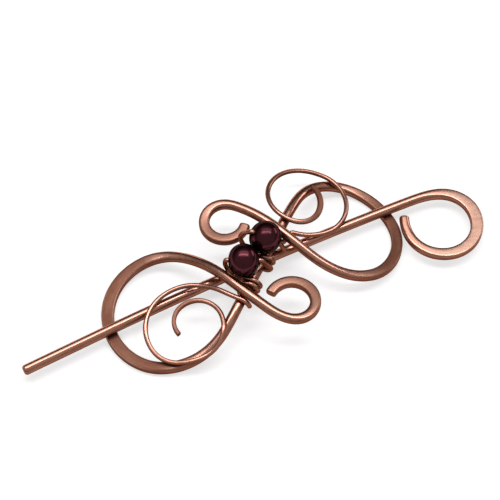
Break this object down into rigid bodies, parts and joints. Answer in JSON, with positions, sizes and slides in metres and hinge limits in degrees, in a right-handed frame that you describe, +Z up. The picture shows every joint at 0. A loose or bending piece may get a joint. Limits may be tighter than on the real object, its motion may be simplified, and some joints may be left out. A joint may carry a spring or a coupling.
{
  "type": "shawl pin",
  "caption": "Copper wire shawl pin: a scrolled figure-of-eight frame with thin wire spirals and dark red pearls at its waist, and a loose stick with a curled end.",
  "frame": {"origin": "centre of the bounding box's underside, on the surface that the pin lies on", "axes": "+X along the stick towards its curl, +Z up from the surface, +Y across the frame"},
  "size_m": [0.116, 0.0405, 0.0167],
  "materials": {
    "copper": "antiqued copper, satin",
    "pearl": "burgundy pearl, glossy"
  },
  "bodies": {
    "frame": {"frame_wire": "copper", "scroll_wire": "copper", "upper_pearl": "pearl", "lower_pearl": "pearl"},
    "stick": {"stick": "copper"}
  },
  "joints": [
    {"name": "stick_slide", "type": "slide", "parent": "frame", "child": "stick", "axis": [1, 0, 0], "range_m": [0, 0.102]}
  ]
}
